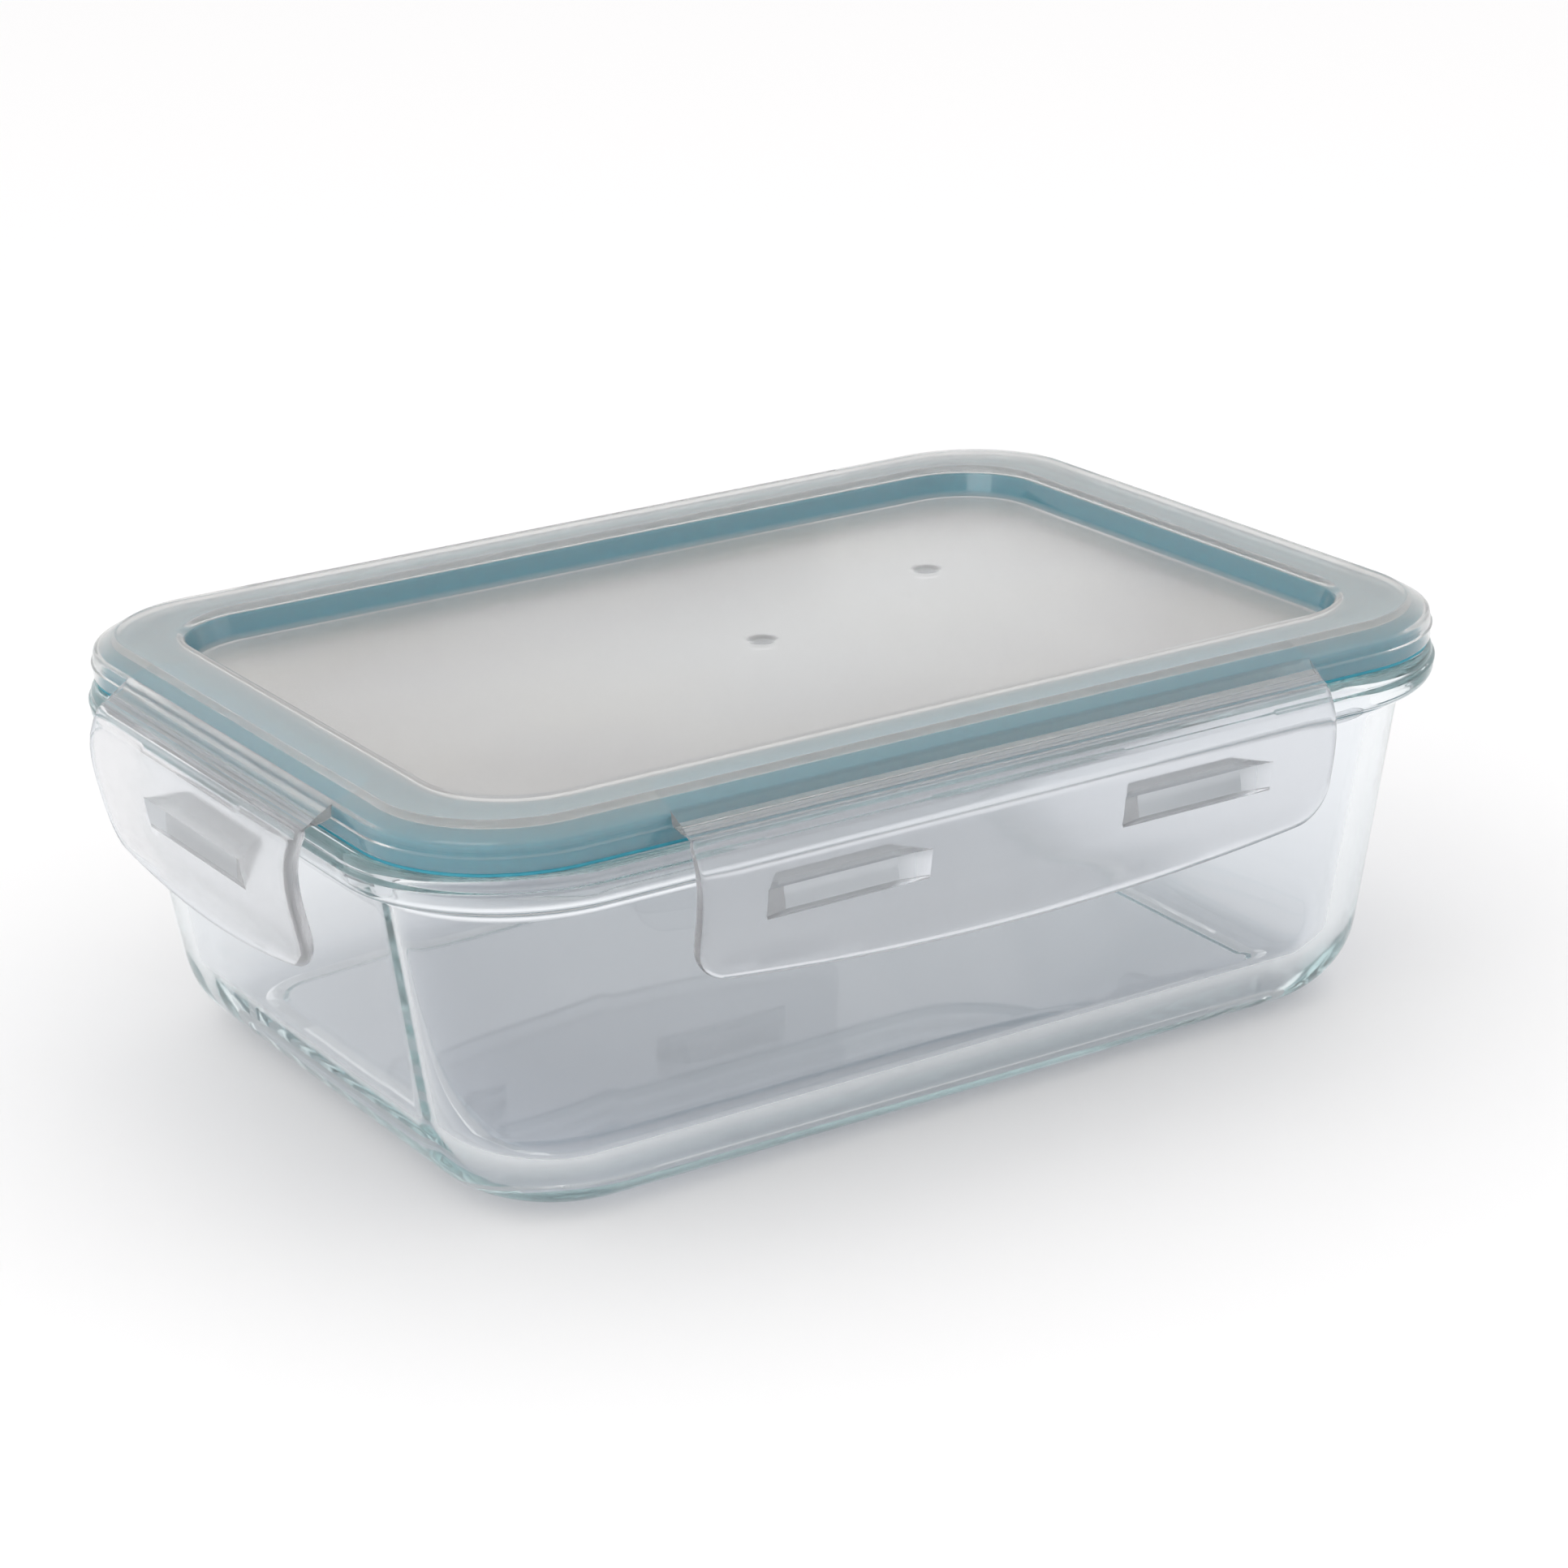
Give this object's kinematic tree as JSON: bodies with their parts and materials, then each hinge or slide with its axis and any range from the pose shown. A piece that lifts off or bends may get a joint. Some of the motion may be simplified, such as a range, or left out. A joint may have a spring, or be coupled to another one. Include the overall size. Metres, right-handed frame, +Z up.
{
  "type": "glass food storage container",
  "caption": "Rectangular glass food container with a translucent locking lid, a silicone gasket and a hinged latch flap on each side.",
  "frame": {"origin": "centre of the dish's footprint, at the surface it stands on", "axes": "+X along the long side, +Y along the short side, +Z up through the lid"},
  "size_m": [0.213, 0.156, 0.07],
  "materials": {
    "borosilicate_glass": "polished",
    "frosted_polypropylene": "fine satin",
    "clear_polypropylene": "semi gloss",
    "teal_silicone": "matte"
  },
  "bodies": {
    "dish": {"glass_dish": "borosilicate_glass"},
    "lid": {"lid": "frosted_polypropylene", "silicone_gasket": "teal_silicone", "front_living_hinge": "clear_polypropylene", "back_living_hinge": "clear_polypropylene", "left_living_hinge": "clear_polypropylene", "right_living_hinge": "clear_polypropylene"},
    "front_latch": {"front_latch": "clear_polypropylene"},
    "back_latch": {"back_latch": "clear_polypropylene"},
    "left_latch": {"left_latch": "clear_polypropylene"},
    "right_latch": {"right_latch": "clear_polypropylene"}
  },
  "joints": [
    {"name": "lid_lift", "type": "slide", "parent": "dish", "child": "lid", "axis": [0, 0, 1], "range_m": [0, 0.12]},
    {"name": "front_latch_hinge", "type": "hinge", "parent": "lid", "child": "front_latch", "pos_m": [0, -0.075, 0.0646], "axis": [-1, 0, 0], "range_deg": [0, 110]},
    {"name": "back_latch_hinge", "type": "hinge", "parent": "lid", "child": "back_latch", "pos_m": [0, 0.075, 0.0646], "axis": [1, 0, 0], "range_deg": [0, 110]},
    {"name": "left_latch_hinge", "type": "hinge", "parent": "lid", "child": "left_latch", "pos_m": [-0.1035, 0, 0.0646], "axis": [0, 1, 0], "range_deg": [0, 110]},
    {"name": "right_latch_hinge", "type": "hinge", "parent": "lid", "child": "right_latch", "pos_m": [0.1035, 0, 0.0646], "axis": [0, -1, 0], "range_deg": [0, 110]}
  ]
}
